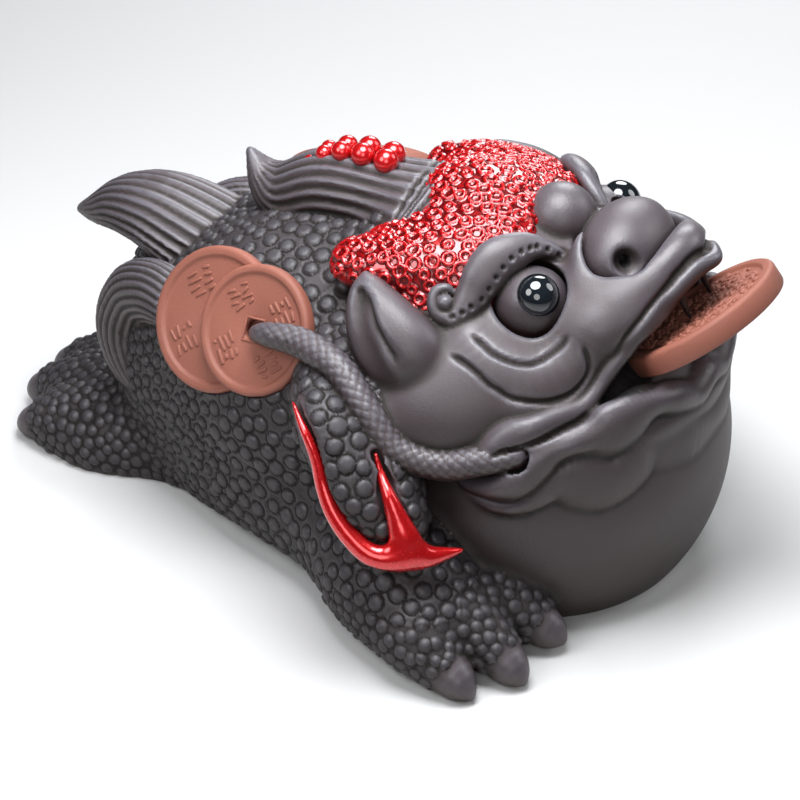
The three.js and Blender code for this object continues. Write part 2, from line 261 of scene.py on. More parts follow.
ARM_BAND = [
    [-4.5, -47.8, 48.3, 0.3, 0.7], [-1.9, -50.2, 46.5, 0.7, 1], [0.2, -51.7, 44.8, 0.95, 1.2],
    [2.6, -52.6, 40.7, 1.2, 1.4], [4.4, -53.6, 36.3, 1.5, 1.6], [7, -55, 32.3, 1.7, 1.7],
    [10.7, -56.1, 28.9, 1.9, 1.8], [15.3, -56.4, 26, 2.1, 1.9], [19.3, -55, 25.2, 2.3, 2],
    [24.1, -51.5, 24.8, 2.1, 1.9], [27, -48.8, 24.8, 1.3, 1.4], [29.6, -47, 25.3, 0.4, 0.7],
]
INNER_BAND = [
    [12.3, -47.7, 42, 0.3, 0.6], [13.6, -48.5, 38.8, 0.8, 1], [16.9, -51.3, 35.8, 1.4, 1.4],
    [19.3, -52.4, 31.8, 2.2, 1.7], [21, -53, 28.5, 3, 1.9], [21.4, -52.7, 26.6, 3.2, 1.9],
]
BAND_FACING = (0.37, -0.75, 0.54)

HIND_HEEL = [-60, 8, 7, 7]
HIND_TOES = [
    ([-73, 15.5, 6], [-78.5, 16.5, 5], [-85, 17, 2.2]),
    ([-76, 5.5, 6.5], [-83, 5.5, 5.5], [-89.5, 5.5, 2.8]),
]
HIND_FOOT = [[-44, 0, 6, 19, 18], [-54, 0, 4, 21, 17], [-66, 0, 3, 24, 14], [-74, 0, 3, 22, 11]]
KNUCKLE_RADIUS, TOE_RADIUS = 6.5, 4.8
FRONT_CLAW_RADIUS, HIND_CLAW_RADIUS = 4.4, 4.2


def add_toe(clay, heel, knuckle, root, point, claw_radius):
    clay.add(Limb([heel, [*knuckle, KNUCKLE_RADIUS], [*root, TOE_RADIUS]]), 2.5, WARTS)
    bend = [r * 0.45 + p * 0.55 for r, p in zip(root, point)]
    stations = [[*root, claw_radius], [*bend, claw_radius * 0.85], [*point, claw_radius * 0.3]]
    clay.add(Limb(stations), 0.6, SMOOTH)


def add_legs(clay):
    """The front leg, and the one hind leg, whose near toes stand for both halves of its foot."""
    clay.add(Limb(FOREARM), 4, DISCS)
    clay.add(Ball(*SHOULDER), 5, DISCS)
    clay.add(Limb(UPPER_ARM), 3, DISCS)
    clay.add(Limb(ARM_LOBE, up=BAND_FACING), 1, DISCS)
    for toe in FRONT_TOES:
        add_toe(clay, FRONT_HEEL, *toe, FRONT_CLAW_RADIUS)
    clay.add(Limb(HIND_FOOT), 4, WARTS)
    for toe in HIND_TOES:
        add_toe(clay, *(on_side(s, 1) for s in (HIND_HEEL, *toe)), HIND_CLAW_RADIUS)


TAIL_LOCK = [
    [-30, 0, 42, 9, 7], [-40, 0, 44.5, 12, 7.5], [-50, 0, 48.5, 13, 7.5], [-60, 0, 51.5, 11, 6.5],
    [-67, 0, 51, 8, 5.5], [-73, 0, 48.5, 4.5, 3.5], [-78, 0, 46.8, 1.2, 1.2],
]
SIDE_LOCK = [
    [-42.5, -22, 45, 5, 6], [-50.5, -18.5, 44, 7, 6], [-56.5, -15.5, 40, 7, 6], [-60, -15, 32, 6.5, 5],
    [-57, -18, 25, 5, 3.5], [-52, -21, 20, 1, 1],
]
CREST_LOCK = [
    [8, 0, 67, 10, 8], [-6, 0, 66.8, 9, 8], [-20, 0, 65.5, 8, 8.7], [-30, 0, 62, 6.5, 6.6],
    [-35, 0, 64.5, 4.5, 3.6], [-38.5, 0, 69.5, 1, 1],
]


def add_locks(clay):
    clay.add(Limb(TAIL_LOCK, per=10, flutes=22, depth=0.08), 0.8, LOCK)
    clay.add(Limb(SIDE_LOCK, up=(0, -1, 0), per=10, flutes=22, depth=0.09), 0.8, LOCK)
    clay.add(Limb(CREST_LOCK, per=10, flutes=20, depth=0.08), 0.8, LOCK)


COLLAR = [[5, 0, 74, 2.5], [3, -8, 71, 2.5], [-1, -15, 65.5, 2.5], [-6, -22, 60, 2]]
COLLAR_LINE = [[2.6, 2.3, 75.6], [1.9, -5.1, 74.3], [0, -11.9, 70.8], [-3, -17.5, 65.5]]
BROW = [
    [33.1, -9.4, 68.1, 0.8, 1.1], [31.1, -10.7, 70.1, 1.4, 1.4], [28.8, -12.4, 71.4, 2.1, 1.7],
    [26.7, -14.5, 72, 3, 2], [24.7, -16.8, 71.5, 3.8, 2.4], [22.9, -18.9, 70.5, 4.2, 2.6],
    [21.6, -21.3, 68.2, 4.1, 2.6], [20.7, -23.3, 65.6, 3.5, 2.4], [19.6, -25.6, 63.1, 2.7, 2.2],
    [18.1, -27.5, 61.6, 2, 1.9], [16, -28.2, 61.9, 1.5, 1.6], [14.3, -27.7, 63.5, 1.2, 1.4],
    [14.2, -26.4, 65.6, 1.1, 1.2], [15.9, -25.3, 66.3, 0.9, 1], [17.5, -25.1, 65.3, 0.4, 0.6],
]
BROW_FACING = (0.5, -0.55, 0.67)
CURL_KNOB = (16.5, -27.2, 64.3)
BROW_PIT_RADIUS, BROW_PIT_DEPTH = 0.6, 0.5
BROW_PITS = [
    [32.3, -11.6, 69.9], [30.6, -12.9, 71.8], [29.1, -14.1, 72.7], [28.2, -15.6, 72.9], [27.1, -17.1, 72.5],
    [25.9, -18.9, 71.7], [25.2, -20.5, 70.4], [24.4, -22.1, 68.9], [23.5, -23.3, 67], [22.5, -24.6, 65.3],
    [21.5, -26.3, 64.2], [20.3, -27.5, 63.3], [18.5, -28.5, 62.7],
]
LOWER_LID = [
    [22.7, -22.4, 60.6, 1.1], [25.1, -23.3, 57.8, 1.4], [28.3, -23.1, 55.9, 1.5], [31.8, -21.9, 55.2, 1.5],
    [34.9, -19.9, 55.9, 1.5], [37.1, -17.4, 57.8, 1.4], [37.8, -15, 60.6, 1.2], [37.3, -13.4, 63.1, 0.9],
]
MUZZLE = [
    [52.6, 0, 71, 4], [51.4, -4.5, 69.6, 4], [48.5, -10, 66.2, 3.4], [43.2, -13.6, 63.6, 2.8],
    [38.5, -12.6, 66.5, 2.4], [37, -11, 69.3, 2.2], [35.8, -8.4, 72, 1.8], [36, -6, 74.2, 1],
]
EAR = [
    [16, -31, 51.5, 6, 6], [11, -32.5, 54.2, 8.5, 7], [6, -31.8, 58.5, 7.5, 6], [2.2, -29.5, 63, 4, 4],
    [0.4, -27.5, 66, 1, 1],
]
EAR_HOLLOW = [
    [1.5, -32, 65, 0.6, 0.7], [3.3, -37.4, 61.5, 2.6, 2.4], [5.4, -40.7, 58, 3.9, 3.6],
    [7.4, -42.2, 54.8, 4.2, 3.6], [9.8, -42.6, 52.2, 3.4, 2.8],
]
EAR_CREASE = [[2.4, -31, 66], [4.9, -34.6, 63.4], [8, -37, 60.6], [11.2, -38.6, 57.8], [13.4, -39.4, 55.2]]
UPPER_LIP = [
    [58.4, 0, 70.2, 1.5], [56.2, -3.6, 69.4, 2], [53.1, -8.9, 65.5, 2.2], [51, -12.6, 62, 2.1],
    [49, -16.8, 58.5, 1.9], [47.3, -20, 55.4, 1.8], [45.7, -22.6, 51.4, 1.8], [44, -26, 48.7, 2.1],
    [41, -29.9, 48, 2.2], [37.4, -34.6, 47.3, 2.2], [33.6, -36, 46, 2.3], [30.3, -37, 43.2, 2.1],
    [28.8, -37.9, 40.5, 1.8], [28.9, -38.6, 38.8, 1.2],
]
LIP_CREASE = [
    [56.5, 0, 71], [55.2, -4.1, 71.6], [54.5, -7, 70.2], [52.6, -10.2, 67.6], [51.4, -15.7, 64.9],
    [48.9, -19.3, 60.7], [47.1, -20.6, 55.9],
]
LIP_LINE = [
    [45.2, -25.4, 46.8], [43.4, -29.5, 45.9], [40.2, -33.6, 45.4], [36.6, -37.2, 44.9], [33.6, -39, 43.6],
    [31.4, -40, 41.5],
]
LOWER_LIP = [
    [57.4, 0, 45, 3.3, 2.8], [57.2, -6.1, 43.8, 3.3, 2.9], [56.1, -12.5, 46.3, 3.3, 3.1],
    [54.4, -16.2, 47.6, 3.3, 2.9], [52.8, -19.6, 47.8, 3.4, 3.8], [51.4, -22.9, 46.3, 3.4, 5.2],
    [49.4, -25.6, 44.9, 3.4, 5.6], [46.5, -28.1, 44.4, 3.3, 3.6], [43.3, -31.3, 44, 3.3, 2.7],
    [40.6, -33.3, 42.7, 3.3, 3.1], [38.4, -35.7, 39.7, 3.2, 3.8], [35.6, -38.3, 36.5, 2.8, 3.1],
    [31.9, -38.6, 34.8, 2.6, 2.2], [27.4, -37.6, 33.6, 2, 1.6], [22, -35, 33, 0.8, 0.6],
]
JAW_FRILL = [
    [57.6, 0, 34, 3, 5.2], [57.2, -8, 35.1, 3, 6.9], [55.3, -13.3, 36.6, 3, 7.9],
    [53.5, -17.8, 38.3, 3, 7.2], [52.7, -21.8, 36.9, 3, 6.4], [51, -25.5, 35.1, 3, 5.7],
    [48.2, -28.2, 34.6, 3, 6.4], [45, -30.5, 35.6, 3, 6.4], [41.9, -32.6, 35.8, 3, 4.3],
    [39.2, -34.6, 33.3, 3, 2.9], [35.2, -35.9, 30.6, 3, 2.3], [31, -35.8, 29.9, 2.8, 2.1],
    [26.9, -34.9, 30.4, 2.4, 1.8], [22.7, -33.4, 30.6, 1.6, 1],
]
BAG_CREASES = [
    [[22.6, -29.8, 60.7], [25.6, -30.1, 59], [29.1, -30.7, 57.8], [32.4, -30, 57], [35.1, -28, 56.8],
     [37.1, -25.3, 57.4], [38.6, -23.4, 58.9], [39.7, -22.4, 61.4]],
    [[20, -33.3, 57.6], [23.8, -33.2, 56.2], [26.8, -33.8, 55], [29.4, -33.9, 53.4], [33.4, -32.9, 51.5],
     [36.4, -30.9, 50.6], [39.5, -28, 50.6], [41.4, -23.9, 52.3], [42.7, -22, 56.4], [42.1, -22.2, 60.4]],
]
FANG = [[54, -5, 64, 0.9], [56.3, -5, 59.5, 0.35]]
ROPE_ROUTE = [
    [-19.6, -28.5, 49, 1.5], [-19.5, -33.6, 51.4, 1.7], [-15.4, -36.4, 53.8, 2.3], [-8.7, -36.8, 54.1, 2.8],
    [0.4, -39.6, 52.8, 2.8], [7.9, -43, 47.6, 2.8], [14.3, -44, 41.4, 2.8], [22.6, -42, 39.1, 2.8],
    [29.9, -39.8, 40.8, 2.7], [35.5, -37, 42, 2.4],
]
MOUTH_HALF = [
    [53, 0, 58, 8, 8], [52, -9, 56.5, 7, 7.5], [50.5, -17, 52.8, 5, 5.4], [48.5, -22.5, 48.8, 3.6, 3.2],
    [45.5, -26.5, 46.8, 1.4, 1.4],
]
ROPE_HOLE = ((35.8, -37.6, 41.7), (2.8, 2.8, 2.8))
EYE = (29.4, -16.9, 61.9)
EYE_RADIUS, EYE_GAP = 7.2, 0.8
FOREHEAD_BALL = ((27.7, 0, 71.2), (6.9, 6.9, 6.8))
NOSE = (41.4, 0, 68.3)
NOSE_RADII, NOSE_GROOVE, NOSE_PITCH = (8.6, 12.2, 8.7), 0.9, 15
NOSTRIL = ((45.115, -9.54, 71), (2.5, 1.9, 2.3))
NOSTRIL_HOLE = [[45.6, -10.1, 70.6, 0.7, 0.9], [44.4, -8.6, 70.2, 0.8, 1.1], [42.6, -6.4, 70, 0.8, 1.1]]

# Jaw, skull, cheekbone, snout, side of the snout and cheek: middle, half sizes, fillet and pitch.
HEAD = [
    ((37, 0, 41.5), (23.5, 34, 10), 5, 0),
    (*HEAD_BALL, 5, 0),
    ((19, -21, 45.5), (23, 17.5, 17), 4, 0),
    ((37.5, 0, 58.5), (19, 23, 12), 5, 20),
    ((45.5, -10, 60), (8.5, 9, 9), 4, 0),
    ((17.5, -27.6, 43.6), (15.4, 15, 12.8), 4, 0),
]
CHEEK_FOLD = [
    [43, -18.5, 60, 3.5], [40.8, -21.3, 54.5, 4.2], [38.5, -25.2, 50.2, 4.2], [34, -30, 48.5, 3.4],
]
EYE_BAG = [[22, -28, 58, 2.5], [28, -29, 54, 4], [35, -26.5, 53, 4], [39.5, -21, 56, 3]]


def add_head(clay):
    for middle, radii, soft, pitch in HEAD:
        clay.add(Ball(middle, radii, pitch), soft)
    clay.add(Limb(CHEEK_FOLD), 4)
    clay.add(Limb(EYE_BAG), 3)
    clay.add(Limb(both_sides(MUZZLE)), 3)
    clay.carve(Ball(NOSE, [r + NOSE_GROOVE for r in NOSE_RADII], NOSE_PITCH), 1.6)
    clay.add(Ball(NOSE, NOSE_RADII, NOSE_PITCH), 0.4)
    clay.add(Limb(LOWER_LID), 2.5)
    clay.carve(Ball(EYE, [EYE_RADIUS + EYE_GAP] * 3), 1.2)
    clay.add(Ball(EYE, [EYE_RADIUS] * 3), 0.2)
    clay.add(Ball(*FOREHEAD_BALL), 0.6)
    clay.add(Limb(both_sides(COLLAR)), 1)
    add_brow(clay)
    clay.add(Limb(EAR, up=(0, 1, 0), per=12), 1)
    clay.carve(Limb(EAR_HOLLOW, up=(0, 1, 0), per=8), 2)
    add_mouth(clay)
    clay.carve(Ball(*NOSTRIL), 1.8)
    clay.carve(Limb(NOSTRIL_HOLE), 0.6, PAINTED_SHADE)


def add_mouth(clay):
    """The mouth's hollow, the lips round it, and the rope that comes out at its corner."""
    clay.carve(Limb(both_sides(MOUTH_HALF), up=(1, 0, 0)), 0.5, PAINTED_SHADE)
    for lip, soft in ((UPPER_LIP, 0.7), (JAW_FRILL, 0.6), (LOWER_LIP, 0.5)):
        clay.add(Limb(both_sides(lip)), soft)
    clay.add(Limb([[x - 0.9, y + 1.2, z, 2.2] for x, y, z in LIP_LINE]), 2)
    clay.carve(Ball(*ROPE_HOLE), 0.5, PAINTED_SHADE)
    clay.add(Limb(ROPE_ROUTE, per=6), 0.3, ROPE)
    clay.add(Limb(FANG), 0.3)


def add_brow(clay):
    """The brow is a broad cushion that hangs over the eye, curled up at its end round a knob."""
    clay.carve(Ball(CURL_KNOB, [3] * 3), 1)
    clay.add(Limb(BROW, up=BROW_FACING, per=5), 0.5)
    clay.add(Ball(CURL_KNOB, [1.6] * 3), 0.3)


def cut_arm_grooves(clay):
    """Grooves that the glazed arm bands lie in, a little wider and deeper than the bands."""
    for band in (ARM_BAND, INNER_BAND):
        wider = [[x, y, z, w + 0.8, h + 0.3] for x, y, z, w, h in band]
        clay.carve(Limb(wider, up=BAND_FACING), 0.5)


def sculpt_body():
    clay = Clay((-92, -62, -1.5), (64, 0, 80), BODY_PITCH, half=True)
    for add in (add_trunk, add_legs, add_locks, add_head, cut_arm_grooves):
        add(clay)
    clay.stand_on_table()
    return clay.surface()


# Fine relief, laid on the sculpted surface as a height along its normals.
def normals_of(places, quads):
    a, b, c, d = (places[quads[:, k]] for k in range(4))
    across = np.cross(c - a, d - b)
    total = [np.bincount(quads.ravel(), np.repeat(across[:, k], 4), len(places)) for k in range(3)]
    total = np.stack(total, 1)
    return total / np.maximum(np.linalg.norm(total, axis=1), 1e-9)[:, None]


def tree_of(points):
    tree = kdtree.KDTree(len(points))
    for i, p in enumerate(points):
        tree.insert(p, i)
    tree.balance()
    return tree


def scatter(points, spacing, rng):
    """Picks points in a random order, each at least its own spacing from those picked before."""
    tree = tree_of(points)
    free = np.ones(len(points), bool)
    picked = []
    for i in rng.permutation(len(points)):
        if free[i]:
            picked.append(i)
            free[[found[1] for found in tree.find_range(points[i], spacing[i])]] = False
    return points[picked]


def nearest_of(seeds, points):
    """For each point, which seed is nearest to it, and how far away."""
    tree = tree_of(seeds)
    found = np.array([tree.find(p)[1:] for p in points])
    return found[:, 0].astype(int), found[:, 1]


def settle(seeds, points, rounds):
    """Moves each seed to the middle of the points nearest to it, so that the pattern packs evenly."""
    for _ in range(rounds):
        owner, _ = nearest_of(seeds, points)
        count = np.maximum(np.bincount(owner, minlength=len(seeds)), 1)
        seeds = np.stack([np.bincount(owner, column, len(seeds)) for column in points.T], 1) / count[:, None]
    return seeds


def step_up(x, low, high):
    """From 0 at low to 1 at high, with soft ends."""
    t = np.clip((x - low) / (high - low), 0, 1)
    return t * t * (3 - 2 * t)


def nearest_on(points, stations):
    """For each point, its distance to a route, and how far along the route that is."""
    line = stations[:, :3]
    best = np.full(len(points), 1e9)
    along = np.zeros(len(points))
    done = 0.0
    for a, b in zip(line, line[1:]):
        step = b - a
        length = np.linalg.norm(step)
        t = np.clip((points - a) @ step / length**2, 0, 1)
        gap = np.linalg.norm(points - a - t[:, None] * step, axis=1)
        nearer = gap < best
        best[nearer] = gap[nearer]
        along[nearer] = (done + t * length)[nearer]
        done += length
    return best, along


def mirror_near(points):
    """The same points, all brought to the near side of the middle plane."""
    near = points.copy()
    near[:, 1] = -np.abs(near[:, 1])
    return near


# The radius of a disc is a share of its spacing, and the edges of discs and warts are shares of that radius.
DISC_HEIGHT, DISC_RADIUS = 0.75, 0.49
DISC_SPACING, ARM_SPACING, REAR_SPACING, WART_SPACING = 3.2, 3.6, 2.7, 2.2
ARM_REACH, FOOT_TOP, REAR_END = 12.5, 13, -30
EAR_CLEAR, COLLAR_CLEAR, BAND_CLEAR = 8.5, 5, 2.5  # how far the skin stays off them
DOME_FALL, DOME_EDGE = 0.35, (0.78, 1.02)
WEB_HEIGHT, WEB_EDGE = 0.3, (1.06, 1.35)
WART_HEIGHT, WART_EDGE = 0.8, 1.25


def skin_zone(places, kinds):
    """True for each place that the carved skin covers."""
    near = mirror_near(places)
    x, _, z = near.T
    nape = (kinds == SMOOTH) & (x < 2) & (z > 40)
    for line, clear in ((route(EAR, 3), EAR_CLEAR), (np.array(COLLAR_LINE), COLLAR_CLEAR)):
        nape &= nearest_on(near, line)[0] > clear
    skin = (np.isin(kinds, (DISCS, WARTS)) | nape) & (z > 0.6)
    for band in (ARM_BAND, INNER_BAND):
        skin &= nearest_on(near, route(band, 4))[0] > BAND_CLEAR
    return skin


def add_skin(places, kinds):
    """The discs of the skin, evenly packed on the sides and arms, and warts of mixed sizes on the feet."""
    rng = np.random.default_rng(SEED)
    skin = skin_zone(places, kinds)
    on_skin = np.flatnonzero(skin)
    near = mirror_near(places)
    arm = nearest_on(near, route(UPPER_ARM, 4))[0] < ARM_REACH
    warts = (kinds == WARTS) | ((near[:, 2] < FOOT_TOP) & (kinds == DISCS) & (near[:, 0] > 6))
    zones = [warts, near[:, 0] < REAR_END, arm]
    spacing = np.select(zones, [WART_SPACING, REAR_SPACING, ARM_SPACING], DISC_SPACING)
    some = rng.permutation(on_skin)[: len(on_skin) // 3]
    jitter = rng.uniform(0.82, 1.15, len(places)) - 0.12 * warts * rng.random(len(places))
    seeds = settle(scatter(places[some], (spacing * jitter)[some], rng), places[some], 2)
    size = rng.uniform(0.86, 1.1, len(seeds))
    lift = rng.uniform(0.75, 1.15, len(seeds))
    one, gap = nearest_of(seeds, places[on_skin])
    r = gap / (DISC_RADIUS * spacing[on_skin] * size[one])
    wart = WART_HEIGHT * (1 - np.minimum(r, WART_EDGE) ** 2 / WART_EDGE**2)
    dome = (1 - DOME_FALL * r * r) * (1 - step_up(r, *DOME_EDGE))
    disc = np.maximum(dome, WEB_HEIGHT * step_up(r, *WEB_EDGE))
    height = np.zeros(len(places))
    height[on_skin] = DISC_HEIGHT * lift[one] * np.where(warts[on_skin], wart, disc)
    return height, skin


FLANK_FACING = (-0.18, -0.86, 0.475)
# The coins of a flank: name, middle, diameter, lift off the flank, radius of the hole, and seed.
FLANK_COINS = [
    ("large", (-31.1, -28, 48.3), 28.4, 0, 0, 5),
    ("small", (-20.4, -29.5, 49.5), 25.2, 2.25, 2.4, 7),
]
SEAT_DEPTH, SEAT_REACH = 1.2, 6


def press_seats(places, kinds):
    """How far the clay under the flank coins is pressed in, as moves of each place."""
    near = mirror_near(places)
    facing = np.array(FLANK_FACING) / np.linalg.norm(FLANK_FACING)
    moves = np.zeros_like(places)
    for _, middle, diameter, lift, *_ in FLANK_COINS:
        out = near + moves - middle - lift * facing
        level = out @ facing
        reach = np.linalg.norm(out - level[:, None] * facing, axis=1)
        pressed = (reach < diameter / 2) & (level > -SEAT_DEPTH) & (level < SEAT_REACH) & (kinds != ROPE)
        moves[pressed] -= (level[pressed] + SEAT_DEPTH)[:, None] * facing
    moves[:, 1] *= -np.where(places[:, 1] > 0, 1, -1)
    return moves


STRANDS, STRAND_PITCH, BRAID_HEIGHT = 8, 2.2, 0.2


def add_braid(places, kinds):
    """The rope's weave: flattened diamonds where two sets of strands cross."""
    height = np.zeros(len(places))
    on = np.flatnonzero(kinds == ROPE)
    near = mirror_near(places[on])
    rope = Limb(ROPE_ROUTE, per=6)
    line = rope.s
    _, along = nearest_on(near, line)
    starts = np.concatenate([[0], np.cumsum(np.linalg.norm(np.diff(line[:, :3], axis=0), axis=1))])
    at = np.clip(np.searchsorted(starts, along) - 1, 0, len(line) - 2)
    out = near - line[at, :3]
    angle = np.arctan2((out * rope.over[at]).sum(1), (out * rope.side[at]).sum(1)) / (2 * math.pi)
    u = (along / STRAND_PITCH + STRANDS * angle) % 1
    v = (along / STRAND_PITCH - STRANDS * angle) % 1
    bump = (np.sin(math.pi * u) * np.sin(math.pi * v)) ** 0.5
    height[on] = BRAID_HEIGHT * bump * step_up(along, 3, 14)
    return height


def laid_on(points, surface):
    """The points moved onto the nearest places of a surface, as one even line."""
    laid = np.array([surface[((surface - p) ** 2).sum(1).argmin()] for p in points])
    for _ in range(2):
        laid[1:-1] = 0.25 * laid[:-2] + 0.5 * laid[1:-1] + 0.25 * laid[2:]
    return laid


def near_to(near, points, reach):
    """The places that lie in the box round some points, widened by reach."""
    points = np.asarray(points)[:, :3]
    return np.flatnonzero(((near > points.min(0) - reach) & (near < points.max(0) + reach)).all(1))


def engrave(places, lines, pits):
    """Fine grooves along lines, and round pits, as heights on both sides of the figure.

    A line is its points, half its width, its depth, and how far it takes to fade at its two ends.
    """
    near = mirror_near(places)
    height = np.zeros(len(places))
    for line, width, depth, fade_in, fade_out in lines:
        picked = near_to(near, line, 3 * width + 2)
        laid = laid_on(route([[*p, 1] for p in line], 6)[:, :3], near[picked])
        gap, along = nearest_on(near[picked], laid)
        shade = step_up(along, 0, fade_in) * step_up(along.max() - along, 0, fade_out)
        height[picked] -= depth * shade * np.exp(-((gap / width) ** 2))
    for pit, radius, depth in pits:
        picked = near_to(near, [pit], 3 * radius + 1)
        if len(picked):
            middle = laid_on([pit], near[picked])[0]
            gap = np.linalg.norm(near[picked] - middle, axis=1)
            height[picked] -= depth * (1 - step_up(gap, 0.55 * radius, 1.15 * radius))
    return height


def deep_in(places, limb, reach):
    """From 0 outside a hollow to 1 a little way inside it."""
    inside = np.full(len(places), FAR)
    picked = near_to(places, np.array([limb.low, limb.high]), 1)
    for i in range(len(limb.s) - 1):
        made = limb.one(i, places[picked].T)
        inside[picked] = np.minimum(inside[picked], made)
    return 1 - step_up(inside, -reach, 0.2)


def neighbours_mean(values, quads, rounds):
    """Each place's value averaged with those next to it, a number of times over."""
    a, b = quads.ravel(), np.roll(quads, -1, 1).ravel()
    count = np.bincount(a, minlength=len(values)) + np.bincount(b, minlength=len(values))
    count = np.maximum(count, 1)
    for _ in range(rounds):
        columns = [
            (np.bincount(a, column[b], len(values)) + np.bincount(b, column[a], len(values))) / count
            for column in values.reshape(len(values), -1).T
        ]
        values = 0.5 * values + 0.5 * np.stack(columns, 1).reshape(values.shape)
    return values


# How wide each reading of the relief is, and how much it weighs.
RELIEF_READINGS = ((0.8, 1.1), (2.0, 0.45))


def relief_of(places, normals, quads, pitch):
    """From 0 in hollows to 1 on ridges, with 0.5 on plain surfaces, read at two widths."""
    total = np.full(len(places), 0.5)
    for width, weight in RELIEF_READINGS:
        rounds = max(int((width / pitch) ** 2), 1)
        mean = neighbours_mean(places, quads, rounds)
        rise = ((places - mean) * normals).sum(1)
        total += weight * np.clip(rise / (0.25 * width), -1, 1)
    return np.clip(total, 0, 1)


# Fine grooves: points, half width, depth, and how far each takes to fade at its two ends.
GROOVES = [
    *((line, 0.55, 0.8, 3, 3) for line in BAG_CREASES),
    (LIP_LINE, 0.5, 0.9, 1, 3),
    (EAR_CREASE, 1.1, 1, 4, 4),
    (LIP_CREASE, 0.7, 0.9, 1, 8),
    *(([[x + off, y, z] for x, y, z in COLLAR_LINE], 0.5, 0.7, 3, 3) for off in (-2.2, -0.6, 1, 2.6)),
]


def finish_body():
    """The body's places and quads, and the values that its look is drawn from."""
    places, quads, kinds = sculpt_body()
    height, skin = add_skin(places, kinds)
    pits = [(pit, BROW_PIT_RADIUS, BROW_PIT_DEPTH) for pit in BROW_PITS]
    height = height + add_braid(places, kinds) + engrave(places, GROOVES, pits)
    places = places + normals_of(places, quads) * height[:, None]
    places += press_seats(places, kinds)
    normals = normals_of(places, quads)
    relief = relief_of(places, normals, quads, BODY_PITCH)
    # Painted shade: how deep each place lies in the mouth's hollow, joined with the carved holes, so that
    # their inside is coloured near black.
    mouth = deep_in(mirror_near(places), Limb(both_sides(MOUTH_HALF), up=(1, 0, 0)), 1.0)
    dark = np.maximum((kinds == PAINTED_SHADE).astype(float), mouth)
    rough = neighbours_mean(skin.astype(float), quads, 3)
    return places, quads, {"relief": relief, "dark": dark, "rough": rough, "facing": normals}


BODY_PARTS = ["clay_rump", "clay_back", "clay_shoulders", "clay_head", "clay_snout"]
OVERLAP = 1  # how far past its cuts a slice is taken before it is cut


def body_parts(places, quads, values):
    """The body in slices along its length, each a closed mesh, shaded as one surface."""
    middles = places[quads, 0].mean(1)
    cuts = np.quantile(middles[places[quads[:, 0], 2] > 0.1], np.linspace(0, 1, len(BODY_PARTS) + 1))
    cuts[0] -= FAR
    cuts[-1] += FAR
    for name, low, high in zip(BODY_PARTS, cuts, cuts[1:]):
        picked = quads[(middles > low - OVERLAP) & (middles < high + OVERLAP)]
        used, own = np.unique(picked, return_inverse=True)
        own_values = {key: value[used] for key, value in values.items()}
        part = mesh_object(name, places[used], own.reshape(-1, 4), own_values)
        trim(part.data, low, high)
        yield part


def trim(mesh, low, high):
    """Cuts a mesh off at two planes across x, closes it there, and thins out its flat underside."""
    bm = bmesh.new()
    bm.from_mesh(mesh)
    for x, facing in ((low, -1), (high, 1)):
        everything = bm.verts[:] + bm.edges[:] + bm.faces[:]
        plane = {"plane_co": (x * MM, 0, 0), "plane_no": (facing, 0, 0)}
        bmesh.ops.bisect_plane(bm, geom=everything, dist=1e-7, clear_outer=True, **plane)
        rim = [e for e in bm.edges if e.is_boundary and all(abs(v.co.x - x * MM) < 1e-6 for v in e.verts)]
        if rim:
            bmesh.ops.triangle_fill(bm, edges=rim, use_beauty=True, normal=(facing, 0, 0))
            left = [e for e in rim if e.is_valid and e.is_boundary]
            bmesh.ops.holes_fill(bm, edges=left, sides=0)
    under = [f for f in bm.faces if f.normal.z < -0.9999 and f.calc_center_median().z < 1e-5]
    edges = {e for f in under for e in f.edges}
    corners = {v for e in edges for v in e.verts}
    bmesh.ops.dissolve_limit(bm, angle_limit=0.01, verts=list(corners), edges=list(edges))
    bm.to_mesh(mesh)
    bm.free()
    facings = np.empty(len(mesh.vertices) * 3, np.float32)
    mesh.attributes["facing"].data.foreach_get("vector", facings)
    mesh.normals_split_custom_set_from_vertices(facings.reshape(-1, 3))
    mesh.attributes.remove(mesh.attributes["facing"])


def mesh_object(name, places, quads, values):
    """An object from places in millimetres and quads, with named values for each place."""
    mesh = bpy.data.meshes.new(name)
    mesh.vertices.add(len(places))
    mesh.vertices.foreach_set("co", np.asarray(places * MM, np.float32).ravel())
    mesh.loops.add(len(quads) * 4)
    mesh.loops.foreach_set("vertex_index", quads.astype(np.int32).ravel())
    mesh.polygons.add(len(quads))
    mesh.polygons.foreach_set("loop_start", np.arange(0, len(quads) * 4, 4, dtype=np.int32))
    mesh.polygons.foreach_set("use_smooth", np.ones(len(quads), bool))
    mesh.update(calc_edges=True)
    for key, value in values.items():
        kind, field = ("FLOAT", "value") if value.ndim == 1 else ("FLOAT_VECTOR", "vector")
        mesh.attributes.new(key, kind, "POINT").data.foreach_set(field, value.astype(np.float32).ravel())
    return linked(name, mesh)


def linked(name, data):
    made = bpy.data.objects.new(name, data)
    bpy.context.scene.collection.objects.link(made)
    return made


CROWN_LOBE = [
    [19, -8.5, 69, 7.3, 4.8], [12, -15.5, 67.2, 8.3, 5.3], [3, -19.5, 65.5, 7.3, 5.3],
    [-5, -21, 64, 5.3, 4.3],
]
CROWN_SPREAD = [(14, 0, 11), (16, -9, 9.5), (15, -14, 9.5), (9, -19, 9), (2, -22.5, 8.5), (-4, -20.5, 7)]
CROWN_MIDDLE = ((12, 0, 68.7), (13.6, 10.6, 8.9))
CROWN_THICKNESS = 1.2
RING_SPACING, RING_HEIGHT, RING_WALL = 2.5, 0.6, 0.28


